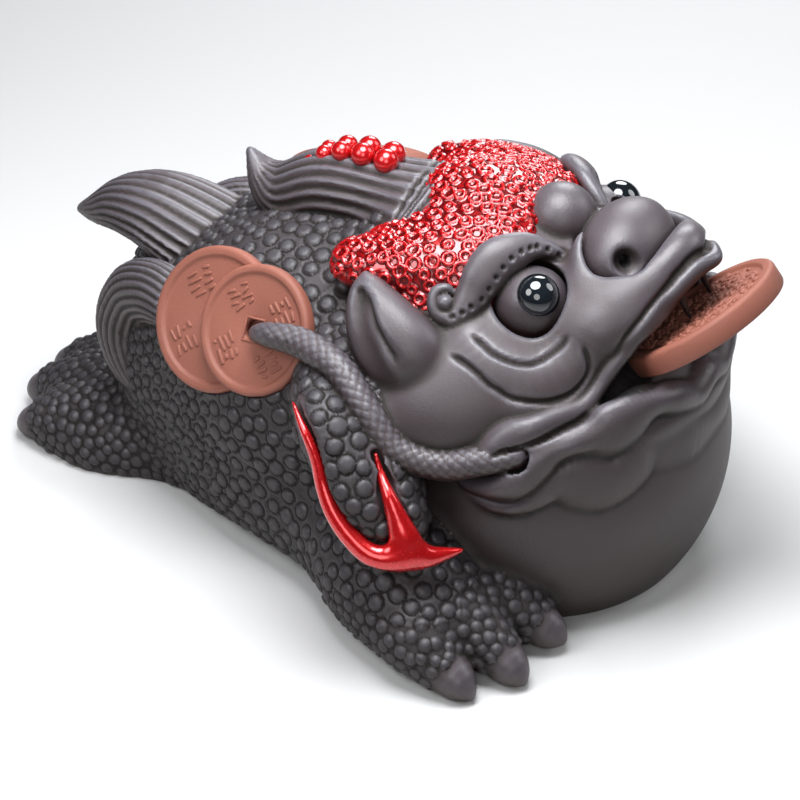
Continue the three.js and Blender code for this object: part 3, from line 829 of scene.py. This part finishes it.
def crown_shape():
    """A blanket over the skull, thick in the middle and in the lobe over each ear."""
    clay = Clay((-13, -33, 58), (30, 33, 81), CROWN_PITCH)
    middle, radii = HEAD_BALL
    clay.add(Ball(middle, [r + CROWN_THICKNESS for r in radii]))
    x, y = clay.axes[0][:, None, None], np.abs(clay.axes[1])[None, :, None]
    spread = np.full((len(clay.axes[0]), len(clay.axes[1]), 1), FAR, np.float32)
    for at_x, at_y, radius in CROWN_SPREAD:
        spread = smooth_min(spread, np.sqrt((x - at_x) ** 2 + (y + at_y) ** 2) - radius, 3)
    clay.field = -smooth_min(-clay.field, -np.broadcast_to(spread, clay.field.shape), 1.5)
    clay.add(Ball(*CROWN_MIDDLE), 3)
    for side in (-1, 1):
        clay.add(Limb([on_side(s, side) for s in CROWN_LOBE]), 3)
    return clay


def sculpt_crown():
    """The glazed crown: a lace of packed rings, each round a shallow bowl."""
    rng = np.random.default_rng(SEED + 1)
    places, quads, _ = crown_shape().surface()
    normals = normals_of(places, quads)
    top = np.flatnonzero((normals[:, 2] > -0.35) & (places[:, 2] > 60))
    some = rng.permutation(top)[: len(top) // 2]
    spacing = rng.uniform(0.72, 1.2, len(some)) * RING_SPACING
    seeds = settle(scatter(places[some], spacing, rng), places[some], 1)
    radius = rng.uniform(0.3, 0.52, len(seeds)) * RING_SPACING
    one, gap = nearest_of(seeds, places[top])
    height = RING_HEIGHT * np.exp(-(((gap - radius[one]) / RING_WALL) ** 2))
    places[top] += normals[top] * height[:, None]
    return places, quads


def sculpt_band(side):
    """The glazed bands of one arm: a long flame, and a short one that branches off it."""
    low, high = sorted((side * 60, side * 40))
    clay = Clay((-13, low, 16), (32, high, 54), BAND_PITCH)
    for band, soft in ((ARM_BAND, 1), (INNER_BAND, 2.5)):
        clay.add(Limb([on_side(s, side) for s in band], up=on_side(BAND_FACING, side)), soft)
    return clay.surface()


# The beads on each side of the crest: x, z and radius.
CREST_BEADS = [
    (-27.4, 69.1, 1.2), (-24.8, 70.9, 1.45), (-21.7, 73.5, 1.75),
    (-17.8, 75, 2.1), (-13.2, 75.5, 2.4), (-8.2, 75.3, 2.5),
]
BEAD_SPREAD = 0.62  # how far off the middle plane a bead lies, as a share of its radius


def ball_into(bm, middle, radii, rings, turn=Matrix.Identity(3)):
    """A closed ball in the mesh, in millimetres, stretched and then turned."""
    made = bmesh.ops.create_uvsphere(bm, u_segments=2 * rings, v_segments=rings, radius=1)
    stretch = Matrix.Diagonal(radii)
    for v in made["verts"]:
        v.co = (Vector(middle) + turn @ (stretch @ v.co)) * MM


def mesh_from(bm, name):
    """An object from a finished mesh, shaded smooth, with the relief of a plain surface."""
    for face in bm.faces:
        face.smooth = True
    mesh = bpy.data.meshes.new(name)
    bm.to_mesh(mesh)
    bm.free()
    relief = np.full(len(mesh.vertices), PLAIN_RELIEF, np.float32)
    mesh.attributes.new("relief", "FLOAT", "POINT").data.foreach_set("value", relief)
    return linked(name, mesh)


def make_crest_beads():
    bm = bmesh.new()
    for x, z, radius in CREST_BEADS:
        for side in (1, -1):
            ball_into(bm, (x, side * BEAD_SPREAD * radius, z), [radius] * 3, 12)
    return mesh_from(bm, "crest_beads")


EYE_BEAD = (31.8, -19.7, 65.8)
EYE_BEAD_RADII = (4.15, 4.15, 3.8)
EYE_AXIS = (0.63, -0.25, 0.735)


def make_eye_bead(name, side):
    bm = bmesh.new()
    turn = Vector(on_side(EYE_AXIS, side)).to_track_quat("Z", "Y").to_matrix()
    ball_into(bm, on_side(EYE_BEAD, side), EYE_BEAD_RADII, 24, turn)
    return mesh_from(bm, name)


# Coins lie in their own frame, picture side up, and are then turned to their seats. The width of the rim,
# and the reach of the square frame and of the marks, are shares of the diameter.
RIM_SHARE, RIM_HEIGHT = 0.075, 0.6
FRAME_REACH, FRAME_STROKE = 0.125, 0.5
MARK_REACH, MARK_SIZE, MARK_ROWS = 0.285, 0.2, 4
STROKE_HEIGHT = 0.6
FLANK_COIN_THICKNESS = 3
MOUTH_COIN = {"diameter": 33, "thickness": 4.6, "marks": 6, "seed": 3, "crumbs": 260}


def around(reach, angle):
    return reach * math.cos(angle), reach * math.sin(angle)


def set_down(bm, verts, turn, place):
    """Turns verts about the coin's axis and then moves them."""
    bmesh.ops.rotate(bm, cent=(0, 0, 0), matrix=Matrix.Rotation(turn, 3, "Z"), verts=verts)
    bmesh.ops.translate(bm, vec=place, verts=verts)


def coin_blank(bm, diameter, thickness, rim_width, rim_height, hole):
    """A turned disc with a rounded rim; rings close to each corner keep its flats flat."""
    radius, half = diameter / 2, thickness / 2
    field = radius - rim_width
    low = half - rim_height
    profile = [
        (hole, -half), (hole + 0.2, -half), (radius - 1, -half), (radius - 0.7, -half),
        (radius - 0.25, -half + 0.2), (radius, -half + 0.7), (radius, half - 0.8),
        (radius - 0.2, half - 0.3), (radius - 0.6, half), (radius - 0.9, half),
        (field + 0.6, half), (field + 0.35, half - 0.06), (field + 0.1, low + 0.1),
        (field - 0.15, low), (field - 0.5, low), (hole + 0.3, low), (hole, low - 0.1),
    ]
    verts = [bm.verts.new((r, 0, z)) for r, z in profile]
    edges = [bm.edges.new(pair) for pair in zip(verts, verts[1:])]
    if hole:
        edges.append(bm.edges.new((verts[-1], verts[0])))
    whole_turn = {"axis": (0, 0, 1), "cent": (0, 0, 0), "angle": 2 * math.pi, "steps": 96}
    bmesh.ops.spin(bm, geom=verts + edges, use_merge=True, **whole_turn)
    bmesh.ops.remove_doubles(bm, verts=bm.verts, dist=1e-4)


def stroke(bm, start, end, z, width, height):
    """One shallow raised bar on a coin's field, with rounded edges."""
    length = math.dist(start, end) + width
    turn = math.atan2(end[1] - start[1], end[0] - start[0])
    verts = bmesh.ops.create_cube(bm, size=1)["verts"]
    bmesh.ops.scale(bm, vec=(length, width, height), verts=verts)
    set_down(bm, verts, turn, ((start[0] + end[0]) / 2, (start[1] + end[1]) / 2, z))
    edges = list({e for v in verts for e in v.link_edges})
    rounding = {"offset": height * 0.42, "segments": 2, "profile": 0.5, "material": -1}
    bmesh.ops.bevel(bm, geom=edges, affect="EDGES", **rounding)


def mark(bm, middle, z, size, turn, rng):
    """Rows of short shallow strokes, broken and slanted at random, that are no letter."""
    cos, sin = math.cos(turn), math.sin(turn)
    for row in range(MARK_ROWS):
        y = size * ((row + 0.5) / MARK_ROWS - 0.5)
        gap = rng.uniform(-0.18, 0.18) * size
        for start, end in ((-0.5 * size, gap - 0.5), (gap + 0.5, 0.5 * size)):
            start = start + rng.uniform(0, 0.16) * size
            end = end - rng.uniform(0, 0.16) * size
            slant = rng.uniform(-0.16, 0.16)
            ends = [
                (middle[0] + x * cos - v * sin, middle[1] + x * sin + v * cos)
                for x, v in ((start, y - slant), (end, y + slant))
            ]
            stroke(bm, *ends, z, rng.uniform(0.6, 0.8), STROKE_HEIGHT)


def make_coin(name, diameter, thickness, seat, seed, hole=0, marks=4, crumbs=0):
    """A coin with a square frame, marks round it, and crumbs of clay scattered over it."""
    bm = bmesh.new()
    rng = np.random.default_rng(SEED + 20 + seed)
    rim_width = RIM_SHARE * diameter
    coin_blank(bm, diameter, thickness, rim_width, RIM_HEIGHT, hole)
    top = thickness / 2 - RIM_HEIGHT + 0.02
    corners = [around(FRAME_REACH * diameter, a) for a in np.arange(0.9, 7, math.pi / 2)[:4]]
    for start, end in zip(corners, corners[1:] + corners[:1]):
        stroke(bm, start, end, top, FRAME_STROKE, FRAME_STROKE)
    for k in range(marks):
        turn = (k + 0.5) * 2 * math.pi / marks
        mark(bm, around(diameter * MARK_REACH, turn), top, diameter * MARK_SIZE, turn - math.pi / 2, rng)
    for _ in range(crumbs):
        reach = math.sqrt(rng.uniform(0.02, 1)) * (diameter / 2 - rim_width - 0.8)
        turn = rng.uniform(0, 2 * math.pi)
        long, wide = rng.uniform(0.35, 0.85, 2)
        verts = bmesh.ops.create_icosphere(bm, subdivisions=2, radius=1)["verts"]
        for v in verts:
            v.co = (v.co.x * long, v.co.y * wide, v.co.z * 0.45)
        set_down(bm, verts, turn, (*around(reach, turn), top))
    bmesh.ops.recalc_face_normals(bm, faces=bm.faces)
    for v in bm.verts:
        v.co = (seat @ v.co) * MM
    return mesh_from(bm, name)


def flank_seat(place, side, lift):
    normal = Vector(on_side(FLANK_FACING, side)).normalized()
    turn = normal.to_track_quat("Z", "Y").to_matrix().to_4x4()
    return Matrix.Translation(Vector(on_side(place, side)) + normal * lift) @ turn


def principled(name, **sockets):
    made = bpy.data.materials.new(name)
    made.use_nodes = True
    shader = made.node_tree.nodes["Principled BSDF"]
    for key, value in sockets.items():
        shader.inputs[key.replace("_", " ")].default_value = value
    return made, made.node_tree, shader


def node(tree, kind, links=None, **values):
    """A shader node with its plain values set and its inputs linked."""
    made = tree.nodes.new("ShaderNode" + kind)
    for key, value in values.items():
        if key in made.inputs:
            made.inputs[key].default_value = value
        else:
            setattr(made, key, value)
    for key, source in (links or {}).items():
        tree.links.new(source, made.inputs[key])
    return made


# Noise sizes and details of the clay: clouds, speckles and soft unevenness.
GRAIN_NOISES = ((60.0, 4.0), (2600.0, 2.0), (420.0, 2.0))


def clay_grain():
    """A shader group of fine clay: masks of its clouds and speckles, and a height for the bump."""
    made = bpy.data.node_groups.new("clay grain", "ShaderNodeTree")
    out = made.nodes.new("NodeGroupOutput")
    place = node(made, "TexCoord").outputs["Object"]
    cloud, speckle, uneven = (
        node(made, "TexNoise", {"Vector": place}, Scale=scale, Detail=detail).outputs["Fac"]
        for scale, detail in GRAIN_NOISES
    )
    height = node(made, "Math", {0: speckle, 1: uneven}, operation="ADD").outputs["Value"]
    for key, value in (("Cloud", cloud), ("Speckle", speckle), ("Height", height)):
        made.interface.new_socket(key, in_out="OUTPUT", socket_type="NodeSocketFloat")
        made.links.new(value, out.inputs[key])
    return made


def ranged(tree, source, to, given=(0, 1)):
    """A value moved from one range into another."""
    made = node(tree, "MapRange", {"Value": source})
    for key, value in zip(("From Min", "From Max", "To Min", "To Max"), (*given, *to)):
        made.inputs[key].default_value = value
    return made.outputs["Result"]


def product(tree, a, b):
    return node(tree, "Math", {0: a, 1: b}, operation="MULTIPLY").outputs["Value"]


def toned(tree, source, low, high, *between):
    """A colour for each value, on a ramp through stops of a place and a colour."""
    made = node(tree, "ValToRGB", {"Fac": source})
    ramp = made.color_ramp.elements
    for i, (place, colour) in enumerate((low, high)):
        ramp[i].color = (*colour, 1)
        ramp[i].position = place
    for place, colour in between:
        ramp.new(place).color = (*colour, 1)
    return made.outputs["Color"]


def mixed(tree, share, a, b):
    """Two colours, given or linked, mixed by a linked share."""
    made = node(tree, "Mix", {0: share}, data_type="RGBA")
    for at, source in ((6, a), (7, b)):
        if isinstance(source, tuple):
            made.inputs[at].default_value = (*source, 1)
        else:
            tree.links.new(source, made.inputs[at])
    return made.outputs[2]


def attribute(tree, name):
    return node(tree, "Attribute", attribute_name=name).outputs["Fac"]


SKIN_DULLING, SKIN_ROUGHENING, HOLLOW_ROUGHENING = 0.38, 1.25, 0.35
FACING_RANGE = (-0.3, 0.8)  # between these upward parts of the normal, the painted light goes from the under tint to the over tint
# The near black that is painted as shade inside the mouth and the carved holes.
MOUTH_PAINTED_SHADE = (0.004, 0.003, 0.003)


def clay_material(name, grain, burnish_and_highlight, plain, hollow, roughness, under=(1, 1, 1), over=(1, 1, 1)):
    """Unglazed clay with painted shade in its hollows, lighter ridges for burnish and a painted highlight,
    painted light on what faces up and painted shade on what faces down.
    """
    made, tree, shader = principled(name, Specular_IOR_Level=0.65)
    texture = node(tree, "Group", node_tree=grain)
    relief, skin = attribute(tree, "relief"), attribute(tree, "rough")
    # Painted shade and highlight: by the relief, the colour goes from the near-black hollow tone up to the
    # lighter ridge tone, which stands for burnish and a painted highlight.
    tone = toned(tree, relief, (0.1, hollow), (0.95, burnish_and_highlight), (0.5, plain))
    cloud = ranged(tree, texture.outputs["Cloud"], (0.8, 1.2))
    mottle = product(tree, cloud, ranged(tree, texture.outputs["Speckle"], (0.85, 1.15)))
    matt = product(tree, mottle, ranged(tree, skin, (1, SKIN_DULLING)))
    facing = node(tree, "SeparateXYZ", {"Vector": node(tree, "NewGeometry").outputs["Normal"]})
    # Painted light and shade: what faces up is lightened and what faces down is darkened, by the normal's
    # upward part.
    painted_facing_light = mixed(tree, ranged(tree, facing.outputs["Z"], (0, 1), FACING_RANGE), under, over)
    tone_with_painted_light = node(tree, "VectorMath", {0: tone, 1: painted_facing_light}, operation="MULTIPLY")
    colour = node(tree, "VectorMath", {0: tone_with_painted_light.outputs["Vector"], "Scale": matt}, operation="SCALE")
    # Painted shade: inside the mouth and in the carved holes the colour goes near black.
    inside = mixed(tree, attribute(tree, "dark"), colour.outputs["Vector"], MOUTH_PAINTED_SHADE)
    tree.links.new(inside, shader.inputs["Base Color"])
    rough = ranged(tree, relief, (roughness + HOLLOW_ROUGHENING, roughness), (0.15, 0.7))
    rough = product(tree, rough, ranged(tree, skin, (1, SKIN_ROUGHENING)))
    tree.links.new(product(tree, rough, cloud), shader.inputs["Roughness"])
    bump = node(tree, "Bump", {"Height": texture.outputs["Height"]}, Strength=0.5, Distance=0.00008)
    tree.links.new(bump.outputs["Normal"], shader.inputs["Normal"])
    return made


def glaze_material():
    """Metallic red glaze: bright on its ridges and almost black in its hollows, where shade is painted."""
    made, tree, shader = principled("red glaze", Metallic=0.5, Coat_Weight=1.0, Coat_Roughness=0.1)
    # Painted shade: the colour darkens to almost black in the hollows of the crown's lace.
    tone = toned(tree, attribute(tree, "relief"), (0.2, (0.15, 0.002, 0.003)), (0.6, (0.56, 0.008, 0.011)))
    tree.links.new(tone, shader.inputs["Base Color"])
    place = node(tree, "TexCoord").outputs["Object"]
    sparkle = node(tree, "TexNoise", {"Vector": place}, Scale=1400.0, Detail=3.0).outputs["Fac"]
    tree.links.new(ranged(tree, sparkle, (0.16, 0.34)), shader.inputs["Roughness"])
    bump = node(tree, "Bump", {"Height": sparkle}, Strength=0.25, Distance=0.0001)
    tree.links.new(bump.outputs["Normal"], shader.inputs["Normal"])
    return made


def bead_material():
    """Polished black glass with a faint blue-grey depth."""
    made, tree, shader = principled("black bead", Roughness=0.05, Coat_Weight=1.0, Coat_Roughness=0.015)
    place = node(tree, "TexCoord").outputs["Object"]
    smoke = node(tree, "TexNoise", {"Vector": place}, Scale=160.0, Detail=2.0).outputs["Fac"]
    tone = toned(tree, smoke, (0, (0.003, 0.004, 0.005)), (1, (0.010, 0.014, 0.018)))
    tree.links.new(tone, shader.inputs["Base Color"])
    return made


def dress(piece, material, slot, *nodes):
    piece.data.materials.append(material)
    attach(piece, "root")
    if nodes:
        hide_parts(*nodes)


# Each clay's colours are those of its ridges, lighter for burnish and a painted highlight, its plain
# surfaces, and its hollows, darkened as painted shade.
DARK_TONES = (0.056, 0.047, 0.053), (0.033, 0.022, 0.0235), (0.006, 0.003, 0.002)
RED_TONES = (0.29, 0.1, 0.066), (0.23, 0.07, 0.043), (0.11, 0.028, 0.016)
# Tints for painted shade on what faces down and painted light on what faces up.
UNDERSIDE_PAINTED_SHADE, TOP_PAINTED_LIGHT = (0.4, 0.18, 0.12), (1.8, 2, 2.1)

grain = clay_grain()
dark_clay = clay_material("dark clay", grain, *DARK_TONES, 0.42, UNDERSIDE_PAINTED_SHADE, TOP_PAINTED_LIGHT)
red_clay = clay_material("red clay", grain, *RED_TONES, 0.6)
red_glaze = glaze_material()
black_bead = bead_material()

for part in body_parts(*finish_body()):
    dress(part, dark_clay, "clay", "toad_body")
places, quads = sculpt_crown()
relief = relief_of(places, normals_of(places, quads), quads, CROWN_PITCH)
dress(mesh_object("crown", places, quads, {"relief": relief}), red_glaze, "red_glaze")
for name, side in (("right", -1), ("left", 1)):
    places, quads, _ = sculpt_band(side)
    relief = np.full(len(places), PLAIN_RELIEF)
    dress(mesh_object(name + "_arm_flame", places, quads, {"relief": relief}), red_glaze, "red_glaze")
    dress(make_eye_bead(name + "_bead", side), black_bead, "bead", name + "_eye_bead")
    for which, place, diameter, lift, hole, seed in FLANK_COINS:
        seat = flank_seat(place, side, lift)
        coin = make_coin(f"{name}_coin_{which}", diameter, FLANK_COIN_THICKNESS, seat, seed, hole)
        dress(coin, red_clay, "red_clay", f"{name}_{which}_coin")
dress(make_crest_beads(), red_glaze, "red_glaze")
mouth_seat = Matrix.Translation((57, 0, 57)) @ Matrix.Rotation(math.radians(-38), 4, "Y")
dress(make_coin("coin_in_mouth", seat=mouth_seat, **MOUTH_COIN), red_clay, "red_clay", "mouth_coin")

# The camera stands where the photograph was taken from.
AZIMUTH, ELEVATION, DISTANCE = 26, 33, 0.65
LENS, SENSOR_WIDTH = 146.25, 36
TARGET = Vector((-0.006, 0, 0.0207))
turn, rise = math.radians(AZIMUTH), math.radians(ELEVATION)
back = Vector((math.sin(turn) * math.cos(rise), -math.cos(turn) * math.cos(rise), math.sin(rise)))
camera = linked("camera", bpy.data.cameras.new("camera"))
camera.data.lens = LENS
camera.data.sensor_width = SENSOR_WIDTH
camera.location = TARGET + back * DISTANCE
camera.rotation_euler = (-back).to_track_quat("-Z", "Y").to_euler()
bpy.context.scene.camera = camera

COOL, PALE, WHITE = (0.96, 0.98, 1), (0.97, 0.98, 1), (1, 1, 1)
LIT = Vector((0, 0, 0.03))
# Name, place, size, power and colour.
LIGHTS = [
    ("soft box behind", (-0.12, 0.48, 0.36), 0.3, 2, COOL),
    ("soft box behind, to the right", (0.37, 0.3, 0.37), 0.3, 0.9, COOL),
    ("lamp over it", (0.01, -0.03, 0.26), 0.16, 0.95, PALE),
    ("lamp over its side", (-0.1, -0.2, 0.24), 0.16, 0.4, PALE),
    ("lamp by the camera", (0.23, -0.46, 0.34), 0.3, 0.8, WHITE),
]


def area_light(name, place, size, power, colour):
    """A round lamp that points at the figure."""
    light = bpy.data.lights.new(name, "AREA")
    light.shape = "DISK"
    light.size, light.energy, light.color = size, power, colour
    made = linked(name, light)
    made.location = place
    made.rotation_euler = (LIT - Vector(place)).to_track_quat("-Z", "Y").to_euler()


FLOOR_HALF, FLOOR_GREY = 3, (0.66, 0.66, 0.66, 1)


def make_floor():
    bm = bmesh.new()
    bmesh.ops.create_grid(bm, x_segments=1, y_segments=1, size=FLOOR_HALF)
    floor = mesh_from(bm, "floor")
    floor.data.materials.append(principled("pale floor", Base_Color=FLOOR_GREY, Roughness=0.8)[0])


make_floor()
for light in LIGHTS:
    area_light(*light)
world = bpy.data.worlds.new("studio")
world.use_nodes = True
background = world.node_tree.nodes["Background"]
background.inputs["Color"].default_value = (1, 0.97, 0.95, 1)
background.inputs["Strength"].default_value = 0.02
bpy.context.scene.world = world
bpy.context.scene.view_settings.view_transform = "Standard"
